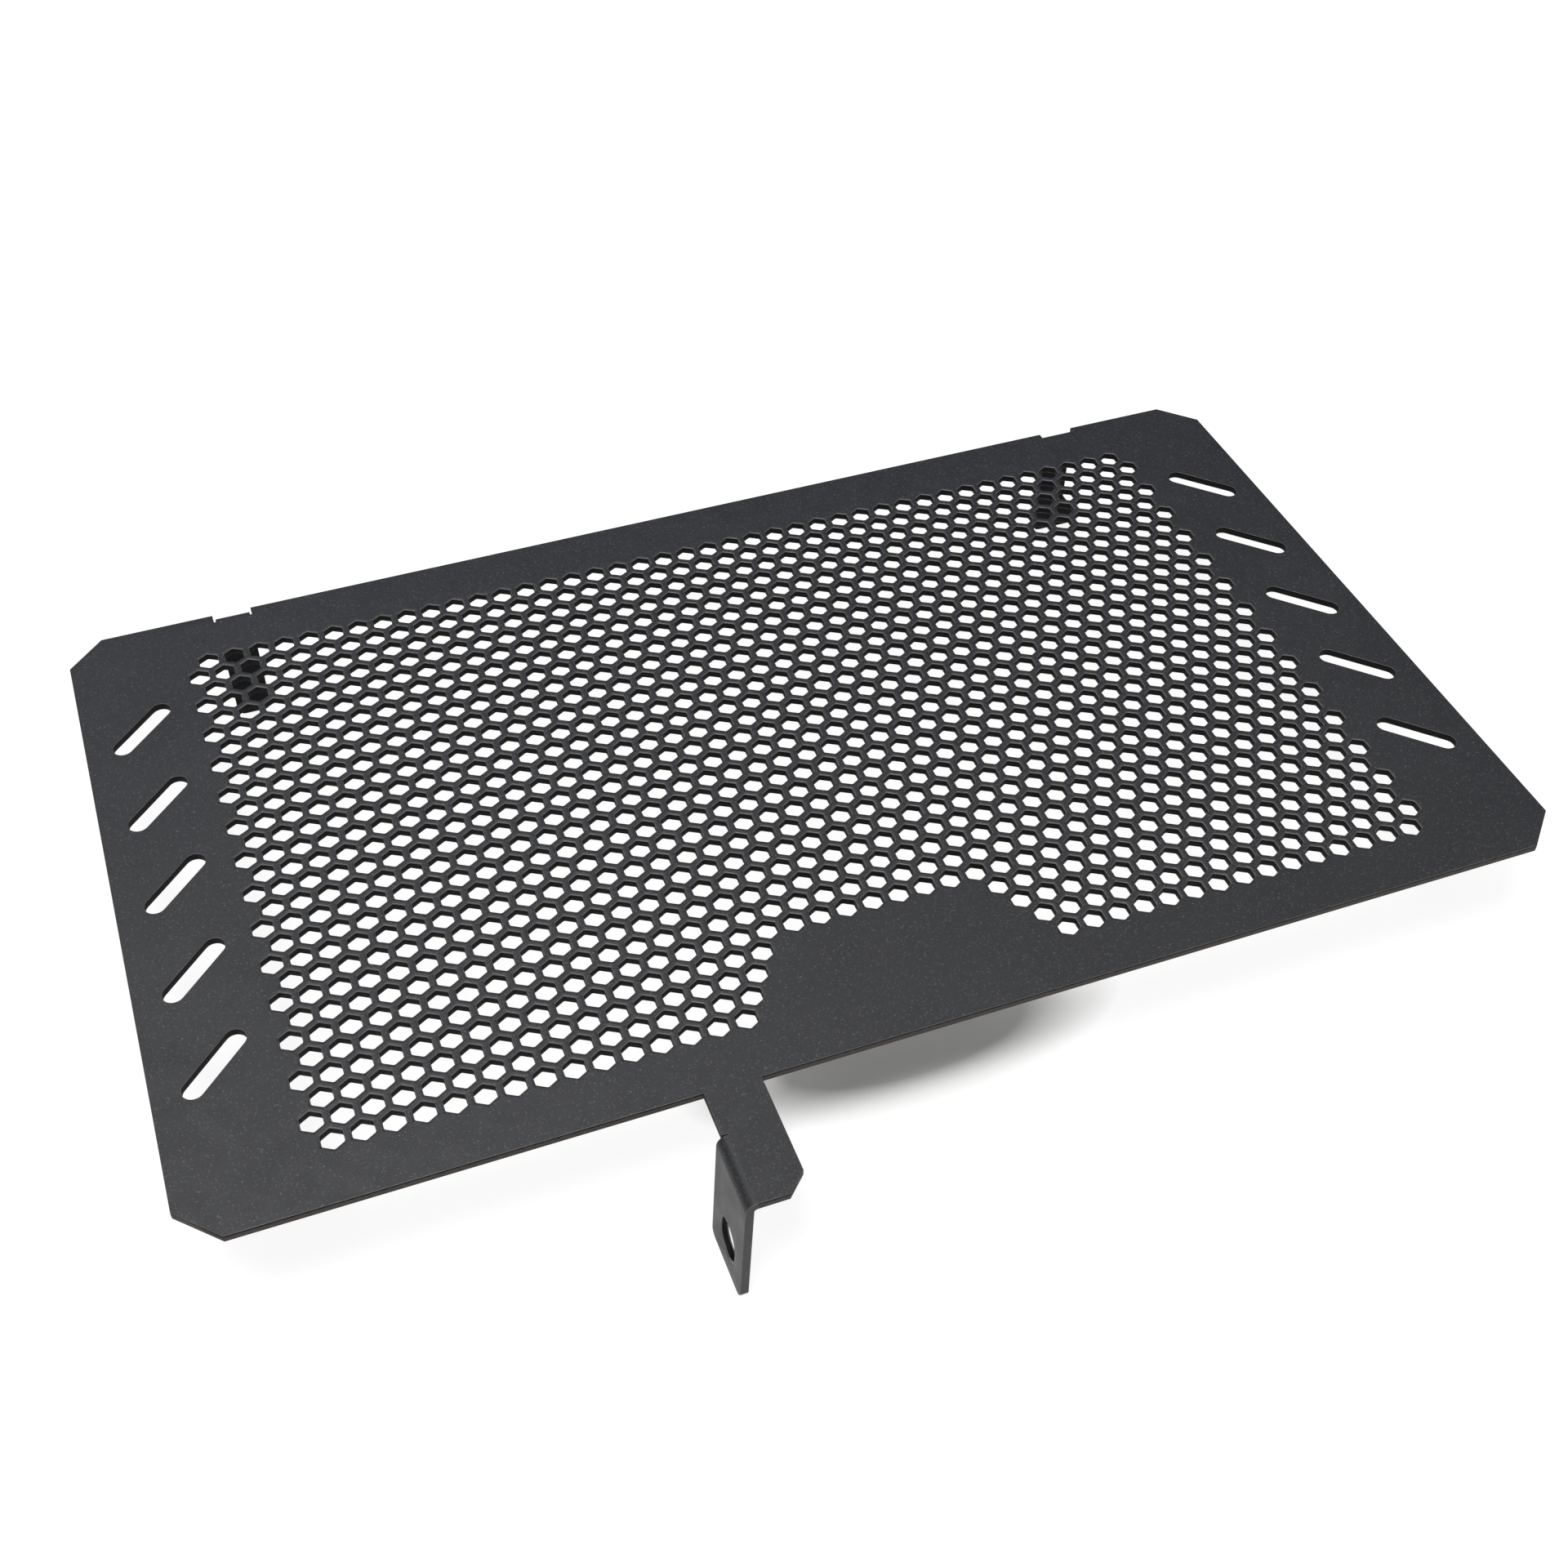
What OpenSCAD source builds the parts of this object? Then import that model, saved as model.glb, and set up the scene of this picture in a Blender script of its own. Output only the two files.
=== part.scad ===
// Motorcycle radiator guard: one laser-cut sheet with a perforated face and three folded legs.
// X runs along the long side, Y from the front tab towards the rear legs, and Z is up.
// The origin is at the middle of the overall footprint, on the surface the legs stand on.

/* [Sheet] */
// Thickness of the sheet
sheet_t = 2; // [1:0.1:3]
// Length of the face along the long side
face_w = 328; // [300:1:340]
// Depth of the face across the short side
face_d = 191; // [175:1:210]
// Leg of the 45 degree chamfer on each corner of the face
corner_chamfer = 9; // [2:0.5:14]
// Inner radius of every fold
fold_r = 0.8; // [0.4:0.1:2]
// Height from the feet of the legs to the top of the face
stand_h = 34.5; // [28:0.5:60]

/* [Mesh] */
// Distance between neighbouring hole centres
mesh_pitch = 6.5; // [6:0.1:9]
// Diameter of a hole, with the open area of a rounded hexagon 4.8 across its flats
mesh_hole = 5; // [3:0.1:5.5]
// Least width of plain sheet between the mesh and an end edge
end_rim = 27.5; // [24:0.5:60]
// Least width of plain sheet between the mesh and the front or rear edge
edge_rim = 12.5; // [8:0.5:40]
// Distance that the mesh sits towards the front from the middle of the face
mesh_forward = 1; // [-1:0.5:2]
// Rows of the blank patch at the middle of the front edge
blank_rows = 4; // [0:1:4]
// Holes left out of the blank patch's innermost row
blank_cols = 8; // [2:2:12]

/* [Side slots] */
// Number of slanted slots at each end
slot_count = 5; // [1:1:5]
// Length of a slot from end to end
slot_l = 20; // [8:0.5:21]
// Width of a slot
slot_w = 5; // [2:0.5:7]
// Distance from one slot to the next
slot_step = 27.5; // [16:0.5:34]
// Angle of a slot from the long side
slot_angle = 45; // [0:5:60]
// Distance of the slot centres from the end edge of the face
slot_inset = 14.3; // [13:0.1:15]
// Distance of the middle slot behind the middle of the face
slot_back = 2.7; // [0:0.1:4]

/* [Rear legs] */
// Distance between the centres of the two rear legs
rear_span = 242.5; // [150:0.5:290]
// Width of a rear leg
rear_w = 9; // [6:0.5:14]
// Width of the relief cut on each side of a rear leg's fold
relief_w = 0.5; // [0.3:0.1:1]
// Outward reach of the flared foot on the right leg
flare_reach = 5; // [2:0.5:8]
// Height of the flared foot's upright edge
flare_edge = 4; // [2.5:0.5:6]
// Height over which the foot flares out
flare_rise = 7; // [4:0.5:12]

/* [Front tab] */
// Distance of the tab's free edge to the left of the face's middle
tab_offset = 41.3; // [20:0.1:60]
// Width of the tab
tab_w = 13; // [10:0.5:18]
// Length of the tab in front of the face
tab_l = 29.5; // [22:0.5:40]
// Leg of the 45 degree chamfer on the tab's free corner
tab_chamfer = 4.5; // [1:0.5:7]
// Width of the flange folded down from the tab
flange_w = 18; // [14:0.5:21]
// Step of the flange's outer face beyond the tab's edge
flange_step = 1.3; // [0:0.1:1.5]
// Radius of the corners at the feet
foot_r = 2; // [0.5:0.1:2.4]

/* [Mounting slot] */
// Width of the mounting slot in the flange
mount_w = 8.6; // [5:0.1:9]
// Height of the mounting slot from end to end
mount_h = 10.6; // [9.5:0.1:12]
// Height of the slot's middle above the foot
mount_up = 9.7; // [8:0.1:14]

/* [Hidden] */
arc_fn = 48;
hole_fn = 18;
overlap = 1;
fold_out = fold_r + sheet_t;
row_step = mesh_pitch * sqrt(3) / 2;
rows_reach = face_d / 2 - abs(mesh_forward) - edge_rim - mesh_hole / 2;
cols_reach = face_w / 2 - end_rim - mesh_hole / 2;
half_rows = floor(rows_reach / row_step);
half_cols = floor(cols_reach / mesh_pitch - 0.5);
foot_to_back = face_d + tab_l;
face_mid_y = (foot_to_back - face_d) / 2;
rear_y = foot_to_back / 2;
front_y = -foot_to_back / 2;
face_front_y = front_y + tab_l;
mesh_y = face_mid_y - mesh_forward;
tab_right_x = -tab_offset;
tab_left_x = tab_right_x - tab_w;
flange_x = tab_left_x - flange_step;
face_z = stand_h - sheet_t;
leg_h = stand_h - fold_out;

// Whether a place in the lattice falls in the blank patch; x is in pitches from the middle
function is_blank(row, x) =
    row < blank_rows - half_rows
    && abs(x) < (blank_cols + blank_rows - 1 - (row + half_rows)) / 2;

// Hole centres of the staggered lattice, from the middle of the mesh; odd rows have one more
hole_centres = [
    for (row = [-half_rows : half_rows])
        let (last = half_cols + abs(row) % 2 / 2)
            for (x = [-last : last])
                if (!is_blank(row, x)) [x * mesh_pitch, row * row_step]
];

// Rectangle with its two lower corners rounded, standing on the X axis around x = 0
module foot_outline(w, h, r) {
    translate([-w / 2, r])
        square([w, h - r]);
    translate([r - w / 2, 0])
        square([w - 2 * r, h]);
    for (side = [-1, 1])
        translate([side * (w / 2 - r), r])
            circle(r, $fn = arc_fn);
}

// Slot with round ends, along the X axis
module slot_outline(l, w) {
    square([l - w, w], center = true);
    for (end = [-1, 1])
        translate([end * (l - w) / 2, 0])
            circle(d = w, $fn = arc_fn);
}

// The face with its chamfered corners, before any hole is cut
module face_outline() {
    x = face_w / 2;
    c = corner_chamfer;
    y0 = face_front_y;
    y1 = rear_y;
    polygon([
        [-x + c, y0], [x - c, y0], [x, y0 + c], [x, y1 - c],
        [x - c, y1], [-x + c, y1], [-x, y1 - c], [-x, y0 + c]
    ]);
}

// The flat part of the front tab, with its chamfered free corner
module tab_outline() {
    polygon([
        [tab_left_x, face_front_y + overlap], [tab_left_x, front_y + flange_w],
        [flange_x + fold_out, front_y + flange_w], [flange_x + fold_out, front_y],
        [tab_right_x - tab_chamfer, front_y], [tab_right_x, front_y + tab_chamfer],
        [tab_right_x, face_front_y + overlap]
    ]);
}

module mesh_holes() {
    for (c = hole_centres)
        translate([c.x, mesh_y + c.y])
            circle(d = mesh_hole, $fn = hole_fn);
}

module side_slots() {
    for (side = [-1, 1], i = [0 : slot_count - 1])
        translate([
            side * (face_w / 2 - slot_inset),
            face_mid_y + slot_back + (i - (slot_count - 1) / 2) * slot_step
        ])
            rotate(-side * slot_angle)
                slot_outline(slot_l, slot_w);
}

// Gap in the rear edge for a rear leg's fold and the relief cuts beside it
module rear_gaps() {
    for (side = [-1, 1])
        translate([
            side * rear_span / 2 - rear_w / 2 - relief_w,
            rear_y - fold_out
        ])
            square([rear_w + 2 * relief_w, fold_out + overlap]);
}

module flat_sheet() {
    translate([0, 0, face_z])
        linear_extrude(sheet_t)
            difference() {
                union() {
                    face_outline();
                    tab_outline();
                }
                mesh_holes();
                side_slots();
                rear_gaps();
            }
}

// Quarter turn of sheet, from level at its top to upright on its +X side, centred along Y;
// a key inside the sheet ties each of its ends to the flat part that it joins
module fold(w) {
    rotate([90, 0, 0]) {
        linear_extrude(w, center = true)
            intersection() {
                difference() {
                    circle(fold_out, $fn = arc_fn);
                    circle(fold_r, $fn = arc_fn);
                }
                square(fold_out);
            }
        linear_extrude(w / 2, center = true)
            union() {
                translate([-overlap, fold_r + sheet_t / 4])
                    square([overlap + sheet_t / 4, sheet_t / 2]);
                translate([fold_r + sheet_t / 4, -overlap])
                    square([sheet_t / 2, overlap + sheet_t / 4]);
            }
    }
}

// Leg of the rear edge: the fold and the strip below it; a flare widens its foot to the right
module rear_leg(x, flare) {
    translate([x, rear_y - fold_out, leg_h])
        rotate(90)
            fold(rear_w);
    translate([x, rear_y, 0])
        rotate([90, 0, 0])
            linear_extrude(sheet_t)
                union() {
                    foot_outline(rear_w, leg_h, foot_r);
                    if (flare)
                        flare_outline();
                }
}

// The flared part of the right foot, beside the strip and tied into it
module flare_outline() {
    inner = rear_w / 2;
    outer = inner + flare_reach;
    polygon([
        [0, 0], [outer - foot_r, 0], [outer - foot_r, foot_r], [outer, foot_r],
        [outer, flare_edge], [inner, flare_edge + flare_rise], [0, flare_edge + flare_rise]
    ]);
    translate([outer - foot_r, foot_r])
        circle(foot_r, $fn = arc_fn);
}

module front_flange() {
    flange_y = front_y + flange_w / 2;
    translate([flange_x + fold_out, flange_y, leg_h])
        rotate(180)
            fold(flange_w);
    translate([flange_x, flange_y, 0])
        rotate([90, 0, 90])
            linear_extrude(sheet_t)
                difference() {
                    foot_outline(flange_w, leg_h, foot_r);
                    translate([0, mount_up])
                        rotate(90)
                            slot_outline(mount_h, mount_w);
                }
}

module radiator_guard() {
    color("#2c2d30")
        union() {
            flat_sheet();
            rear_leg(-rear_span / 2, false);
            rear_leg(rear_span / 2, true);
            front_flange();
        }
}

radiator_guard();
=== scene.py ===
"""Motorcycle radiator guard, dressed around its packed solid.

The guard is one laser-cut sheet with a hexagonal mesh and three folded legs. It is drawn as a
single surface, thickened, given soft edges and coated black. Lengths are in metres, in the
frame of the packed solid: X along the long side, Y from the front tab to the rear legs, Z up.
"""

import math

import bmesh
import bpy
from bpy.props import (
    FloatProperty,
    FloatVectorProperty,
    IntProperty,
    PointerProperty,
)
from mathutils import Matrix, Vector


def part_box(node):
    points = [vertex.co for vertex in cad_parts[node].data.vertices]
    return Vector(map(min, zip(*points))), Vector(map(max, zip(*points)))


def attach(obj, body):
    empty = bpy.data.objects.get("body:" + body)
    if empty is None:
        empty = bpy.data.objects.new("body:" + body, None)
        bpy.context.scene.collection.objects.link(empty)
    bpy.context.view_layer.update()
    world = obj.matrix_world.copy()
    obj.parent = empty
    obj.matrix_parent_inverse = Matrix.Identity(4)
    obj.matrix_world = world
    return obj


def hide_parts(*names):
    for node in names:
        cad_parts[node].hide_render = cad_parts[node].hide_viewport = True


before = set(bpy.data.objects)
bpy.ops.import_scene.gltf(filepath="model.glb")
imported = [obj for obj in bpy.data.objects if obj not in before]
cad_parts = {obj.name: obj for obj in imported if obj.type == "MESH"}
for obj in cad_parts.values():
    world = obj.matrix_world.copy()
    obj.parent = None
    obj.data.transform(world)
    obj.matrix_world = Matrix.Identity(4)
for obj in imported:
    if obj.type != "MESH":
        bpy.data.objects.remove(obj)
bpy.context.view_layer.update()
NODE = "radiator_guard"
LOW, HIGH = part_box(NODE)

bl_info = {
    "name": "Radiator guard",
    "version": (1, 0, 0),
    "blender": (4, 5, 0),
    "location": "View3D > Sidebar > Radiator guard",
    "description": "Models a folded radiator guard with a hexagonal mesh, and its stage",
    "category": "Add Mesh",
}

# Points closer than this are one point
SAME_PLACE = 0.00001
# Straight steps in the corner of a foot, in the corner of a slot and in a fold
FOOT_STEPS = 4
SLOT_STEPS = 6
FOLD_STEPS = 10
# Share of half a slot's width that rounds its corners; the whole half would leave no tip
SLOT_END_SHARE = 0.9999
# A normal with more than this along an axis faces that way
FACING = 0.9
# Width of the strip along the ends of the face that holds no hole and no slot
PLAIN_END = 0.004
# Room left around the mounting slot when its walls are told from the flange's outline
SLOT_ROOM = 0.001
# Edges with less bevel weight than this aren't marked yet
UNMARKED = 0.01
# Places of the guard's materials, in the order in which it gets them
COAT_SLOT, EDGE_SLOT, HIGHLIGHT_SLOT, PAINTED_SHADE_SLOT = range(4)
# Corners higher than this above the face are brought back, in so many rounds at most
LIFTED = 0.0000005
LEVEL_ROUNDS = 8


class GuardSheet(bpy.types.PropertyGroup):
    """Sizes of the sheet and its face"""

    thickness: FloatProperty(
        name="Thickness",
        description="Thickness of the sheet with its coat",
        default=0.002,
        min=0.0005,
        subtype="DISTANCE",
        unit="LENGTH",
    )
    face_length: FloatProperty(
        name="Face length",
        description="Length of the face along the long side",
        default=HIGH.x - LOW.x,
        min=0.3,
        subtype="DISTANCE",
        unit="LENGTH",
    )
    face_depth: FloatProperty(
        name="Face depth",
        description="Depth of the face, without the front tab",
        default=0.191,
        min=0.17,
        subtype="DISTANCE",
        unit="LENGTH",
    )
    corner_chamfer: FloatProperty(
        name="Corner chamfer",
        description="Leg of the chamfer on each corner of the face",
        default=0.009,
        min=0.0,
        subtype="DISTANCE",
        unit="LENGTH",
    )
    fold_radius: FloatProperty(
        name="Fold radius",
        description="Outer radius of every fold",
        default=0.0028,
        min=0.0021,
        subtype="DISTANCE",
        unit="LENGTH",
    )
    edge_round: FloatProperty(
        name="Edge rounding",
        description="Width of the soft edge along the laser-cut outline, its slots and legs",
        default=0.00009,
        min=0.0,
        subtype="DISTANCE",
        unit="LENGTH",
    )


class GuardMesh(bpy.types.PropertyGroup):
    """Sizes of the hexagonal mesh"""

    pitch: FloatProperty(
        name="Pitch",
        description="Distance between neighbouring hole centres",
        default=0.0065,
        min=0.003,
        subtype="DISTANCE",
        unit="LENGTH",
    )
    hole_width: FloatProperty(
        name="Hole width",
        description="Width of a hole across its flats",
        default=0.00485,
        min=0.002,
        subtype="DISTANCE",
        unit="LENGTH",
    )
    hole_round: FloatProperty(
        name="Hole rounding",
        description="Width of the rounding around the rims of every hole",
        default=0.0002,
        min=0.0001,
        subtype="DISTANCE",
        unit="LENGTH",
    )
    corner_cut: FloatProperty(
        name="Corner cut",
        description="Length that the rounding takes off each side at a corner of a hole",
        default=0.0002,
        min=0.0001,
        subtype="DISTANCE",
        unit="LENGTH",
    )
    half_rows: IntProperty(
        name="Half rows",
        description="Rows of holes in front of the middle row, and as many behind it",
        default=14,
        min=2,
    )
    columns: IntProperty(
        name="Columns",
        description="Holes in the middle row; the rows beside it have one more",
        default=41,
        min=3,
    )
    forward: FloatProperty(
        name="Forward shift",
        description="Distance of the mesh in front of the middle of the face",
        default=0.001,
        subtype="DISTANCE",
        unit="LENGTH",
    )
    blank_rows: IntProperty(
        name="Blank rows",
        description="Rows of the blank patch at the middle of the front edge",
        default=4,
        min=0,
    )
    blank_columns: IntProperty(
        name="Blank columns",
        description="Holes left out of the innermost row of the blank patch",
        default=8,
        min=0,
    )


class GuardSlots(bpy.types.PropertyGroup):
    """Sizes of the slanted slots at both ends"""

    count: IntProperty(
        name="Count",
        description="Slots at each end",
        default=5,
        min=1,
    )
    length: FloatProperty(
        name="Length",
        description="Length of a slot from end to end",
        default=0.02,
        min=0.006,
        subtype="DISTANCE",
        unit="LENGTH",
    )
    width: FloatProperty(
        name="Width",
        description="Width of a slot",
        default=0.005,
        min=0.001,
        subtype="DISTANCE",
        unit="LENGTH",
    )
    step: FloatProperty(
        name="Step",
        description="Distance from one slot to the next",
        default=0.0275,
        min=0.008,
        subtype="DISTANCE",
        unit="LENGTH",
    )
    slant: FloatProperty(
        name="Slant",
        description="Angle of a slot from the long side",
        default=math.radians(45),
        subtype="ANGLE",
        unit="ROTATION",
    )
    inset: FloatProperty(
        name="Inset",
        description="Distance of the slot centres from the end edge",
        default=0.0143,
        min=0.008,
        subtype="DISTANCE",
        unit="LENGTH",
    )
    back: FloatProperty(
        name="Back shift",
        description="Distance of the middle slot behind the middle of the face",
        default=0.0027,
        subtype="DISTANCE",
        unit="LENGTH",
    )


class GuardLegs(bpy.types.PropertyGroup):
    """Sizes of the rear legs"""

    span: FloatProperty(
        name="Span",
        description="Distance between the centres of the two rear legs",
        default=0.2425,
        min=0.1,
        subtype="DISTANCE",
        unit="LENGTH",
    )
    width: FloatProperty(
        name="Width",
        description="Width of a rear leg",
        default=0.009,
        min=0.004,
        subtype="DISTANCE",
        unit="LENGTH",
    )
    relief: FloatProperty(
        name="Relief",
        description="Width of the relief cut on each side of a leg",
        default=0.0005,
        min=0.0003,
        subtype="DISTANCE",
        unit="LENGTH",
    )
    foot_radius: FloatProperty(
        name="Foot radius",
        description="Radius of the corners at the feet",
        default=0.002,
        min=0.0005,
        subtype="DISTANCE",
        unit="LENGTH",
    )
    flare_reach: FloatProperty(
        name="Flare reach",
        description="Outward reach of the flared foot on the right leg",
        default=0.005,
        min=0.0,
        subtype="DISTANCE",
        unit="LENGTH",
    )
    flare_edge: FloatProperty(
        name="Flare edge",
        description="Height of the upright edge of the flared foot",
        default=0.004,
        min=0.0025,
        subtype="DISTANCE",
        unit="LENGTH",
    )
    flare_rise: FloatProperty(
        name="Flare rise",
        description="Height over which the foot flares out",
        default=0.007,
        min=0.001,
        subtype="DISTANCE",
        unit="LENGTH",
    )


class GuardTab(bpy.types.PropertyGroup):
    """Sizes of the front tab and its flange"""

    offset: FloatProperty(
        name="Offset",
        description="Distance of the tab's free edge to the left of the middle",
        default=0.0413,
        subtype="DISTANCE",
        unit="LENGTH",
    )
    width: FloatProperty(
        name="Width",
        description="Width of the tab",
        default=0.013,
        min=0.008,
        subtype="DISTANCE",
        unit="LENGTH",
    )
    chamfer: FloatProperty(
        name="Chamfer",
        description="Leg of the chamfer on the free corner of the tab",
        default=0.0045,
        min=0.0,
        subtype="DISTANCE",
        unit="LENGTH",
    )
    flange_width: FloatProperty(
        name="Flange width",
        description="Width of the flange folded down from the tab",
        default=0.018,
        min=0.01,
        subtype="DISTANCE",
        unit="LENGTH",
    )
    flange_step: FloatProperty(
        name="Flange step",
        description="Step of the outer face of the flange beyond the edge of the tab",
        default=0.0013,
        min=0.0,
        subtype="DISTANCE",
        unit="LENGTH",
    )
    lean: FloatProperty(
        name="Lean",
        description="Angle by which the flange's fold falls short of square",
        default=math.radians(2.5),
        min=0.0,
        max=math.radians(6),
        subtype="ANGLE",
        unit="ROTATION",
    )
    relief: FloatProperty(
        name="Relief",
        description="Width of the slit between the end of the flange's fold and the tab",
        default=0.0002,
        min=0.0002,
        subtype="DISTANCE",
        unit="LENGTH",
    )
    slot_width: FloatProperty(
        name="Slot width",
        description="Width of the mounting slot",
        default=0.0086,
        min=0.003,
        subtype="DISTANCE",
        unit="LENGTH",
    )
    slot_height: FloatProperty(
        name="Slot height",
        description="Height of the mounting slot from end to end",
        default=0.0106,
        min=0.004,
        subtype="DISTANCE",
        unit="LENGTH",
    )
    slot_round: FloatProperty(
        name="Slot rounding",
        description="Width of the rounding around the rims of the slot, the widest on the guard",
        default=0.0004,
        min=0.0002,
        subtype="DISTANCE",
        unit="LENGTH",
    )
    slot_up: FloatProperty(
        name="Slot middle",
        description="Height of the middle of the slot above the foot",
        default=0.0097,
        min=0.005,
        subtype="DISTANCE",
        unit="LENGTH",
    )


class GuardCoat(bpy.types.PropertyGroup):
    """Colours and grain of the black powder coat, with its painted rim highlight and painted shade
    """

    colour: FloatVectorProperty(
        name="Coat colour",
        description="Colour of the powder coat on the faces",
        default=(0.0118, 0.0121, 0.0132),
        size=3,
        min=0.0,
        max=1.0,
        subtype="COLOR",
    )
    edge_colour: FloatVectorProperty(
        name="Cut edge colour",
        description="Colour of the thin coat on the laser-cut edges of the outline",
        default=(0.05, 0.043, 0.041),
        size=3,
        min=0.0,
        max=1.0,
        subtype="COLOR",
    )
    # Near-black colour that paints the shade in the holes and slots and on the rear legs' inner
    # faces
    painted_shade_colour: FloatVectorProperty(
        name="Bore colour",
        description="Colour of the coat in the holes and slots and behind the rear legs",
        default=(0.0045, 0.0042, 0.0042),
        size=3,
        min=0.0,
        max=1.0,
        subtype="COLOR",
    )
    speck_colour: FloatVectorProperty(
        name="Speck colour",
        description="Colour of the fine light specks in the coat",
        default=(0.078, 0.079, 0.083),
        size=3,
        min=0.0,
        max=1.0,
        subtype="COLOR",
    )
    # Lighter colour that paints the highlight along the soft rims
    rim_highlight_colour: FloatVectorProperty(
        name="Rim colour",
        description="Colour of the coat on the soft rims, where it is thinner and rubbed",
        default=(0.1, 0.1, 0.104),
        size=3,
        min=0.0,
        max=1.0,
        subtype="COLOR",
    )
    roughness: FloatProperty(
        name="Roughness",
        description="Roughness of the coat on the faces",
        default=0.5,
        min=0.1,
        max=1.0,
        subtype="FACTOR",
    )
    grain: FloatProperty(
        name="Grain",
        description="Width of a grain of the powder",
        default=0.00045,
        min=0.0001,
        subtype="DISTANCE",
        unit="LENGTH",
    )
    grain_depth: FloatProperty(
        name="Grain depth",
        description="Height of the fine grain of the powder",
        default=0.00003,
        min=0.0,
        subtype="DISTANCE",
        unit="LENGTH",
    )


class GuardStage(bpy.types.PropertyGroup):
    """Floor, light and camera"""

    floor_size: FloatProperty(
        name="Floor size",
        description="Side of the square floor",
        default=6.0,
        min=1.0,
        subtype="DISTANCE",
        unit="LENGTH",
    )
    floor_colour: FloatVectorProperty(
        name="Floor colour",
        description="Colour of the floor",
        default=(0.86, 0.86, 0.83),
        size=3,
        min=0.0,
        max=1.0,
        subtype="COLOR",
    )
    glow: FloatProperty(
        name="Glow",
        description="Strength of the white that the camera sees in the floor",
        default=1.15,
        min=0.0,
    )
    shadow: FloatProperty(
        name="Shadow",
        description="Share of the floor's own shading that the camera sees",
        default=0.22,
        min=0.0,
        max=1.0,
        subtype="FACTOR",
    )
    near_shadow: FloatProperty(
        name="Near shadow",
        description="The same share in front of the blank patch, where the shadow is deepest",
        default=0.95,
        min=0.0,
        max=1.0,
        subtype="FACTOR",
    )
    near_place: FloatVectorProperty(
        name="Near shadow place",
        description="Middle of the deepest shadow on the floor",
        default=(0.003, -0.058, 0.0),
        size=3,
        subtype="XYZ_LENGTH",
        unit="LENGTH",
    )
    near_size: FloatVectorProperty(
        name="Near shadow size",
        description="Half the length and depth of the deepest shadow, and its height",
        default=(0.044, 0.0155, 1.0),
        size=3,
        subtype="XYZ_LENGTH",
        unit="LENGTH",
    )
    ambient: FloatProperty(
        name="Ambient light",
        description="Strength of the light from all around",
        default=0.35,
        min=0.0,
        max=1.0,
    )
    rear_place: FloatVectorProperty(
        name="Rear lamp place",
        description="Place of the large soft lamp high behind the guard",
        default=(-0.3, 0.8, 1.55),
        size=3,
        subtype="XYZ_LENGTH",
        unit="LENGTH",
    )
    rear_size: FloatProperty(
        name="Rear lamp size",
        description="Side of the rear lamp's square",
        default=1.0,
        min=0.01,
        subtype="DISTANCE",
        unit="LENGTH",
    )
    rear_power: FloatProperty(
        name="Rear lamp power",
        description="Power of the rear lamp",
        default=7.0,
        min=0.0,
        subtype="POWER",
        unit="POWER",
    )
    front_place: FloatVectorProperty(
        name="Front lamp place",
        description="Place of the soft lamp high above the front left",
        default=(-0.36, -0.47, 1.5),
        size=3,
        subtype="XYZ_LENGTH",
        unit="LENGTH",
    )
    front_size: FloatProperty(
        name="Front lamp size",
        description="Side of the front lamp's square",
        default=0.4,
        min=0.01,
        subtype="DISTANCE",
        unit="LENGTH",
    )
    front_power: FloatProperty(
        name="Front lamp power",
        description="Power of the front lamp",
        default=16.0,
        min=0.0,
        subtype="POWER",
        unit="POWER",
    )
    card_colour: FloatVectorProperty(
        name="Card colour",
        description="Colour of the dark cards around the rear, which only reflections show",
        default=(0.05, 0.075, 0.2),
        size=3,
        min=0.0,
        max=1.0,
        subtype="COLOR",
    )
    camera_place: FloatVectorProperty(
        name="Camera place",
        description="Place of the camera",
        default=(-0.1298, -0.3203, 0.3794),
        size=3,
        subtype="XYZ_LENGTH",
        unit="LENGTH",
    )
    camera_aim: FloatVectorProperty(
        name="Camera aim",
        description="Direction in which the camera looks",
        default=(0.2544, 0.6577, -0.709),
        size=3,
        subtype="DIRECTION",
    )
    camera_up: FloatVectorProperty(
        name="Camera up",
        description="Direction that is upwards in the picture",
        default=(0.2423, 0.6664, 0.7051),
        size=3,
        subtype="DIRECTION",
    )
    lens: FloatProperty(
        name="Lens",
        description="Focal length for a frame 36 mm wide, in millimetres",
        default=45.84,
        min=10.0,
        subtype="DISTANCE_CAMERA",
        unit="CAMERA",
    )


def clear_selection():
    """Leave edit mode and deselect everything."""
    if bpy.context.object is not None and bpy.context.object.mode != "OBJECT":
        bpy.ops.object.mode_set(mode="OBJECT")
    bpy.ops.object.select_all(action="DESELECT")


def take(*pieces):
    """Select these pieces alone and make the first one active."""
    clear_selection()
    for piece in pieces:
        piece.select_set(True)
    bpy.context.view_layer.objects.active = pieces[0]


def edit(piece):
    """Open one piece in edit mode."""
    take(piece)
    bpy.ops.object.mode_set(mode="EDIT")
    bpy.ops.mesh.select_mode(type="VERT")


def leave_edit():
    """Go back to object mode."""
    bpy.ops.object.mode_set(mode="OBJECT")


def pick_all(kind):
    """Select all the vertices, edges or faces."""
    bpy.ops.mesh.select_mode(type=kind)
    bpy.ops.mesh.select_all(action="SELECT")


def pick(kind, test):
    """Select only the vertices, edges or faces that pass the test, and count them."""
    bpy.ops.mesh.select_mode(type=kind)
    bpy.ops.mesh.select_all(action="DESELECT")
    shown = bpy.context.edit_object.data
    work = bmesh.from_edit_mesh(shown)
    items = {"VERT": work.verts, "EDGE": work.edges, "FACE": work.faces}[kind]
    found = [item for item in items if test(item)]
    for item in found:
        item.select_set(True)
    work.select_flush_mode()
    bmesh.update_edit_mesh(shown)
    return len(found)


def middle(item):
    """Middle of an edge or a face."""
    return sum((corner.co for corner in item.verts), Vector()) / len(item.verts)


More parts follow.
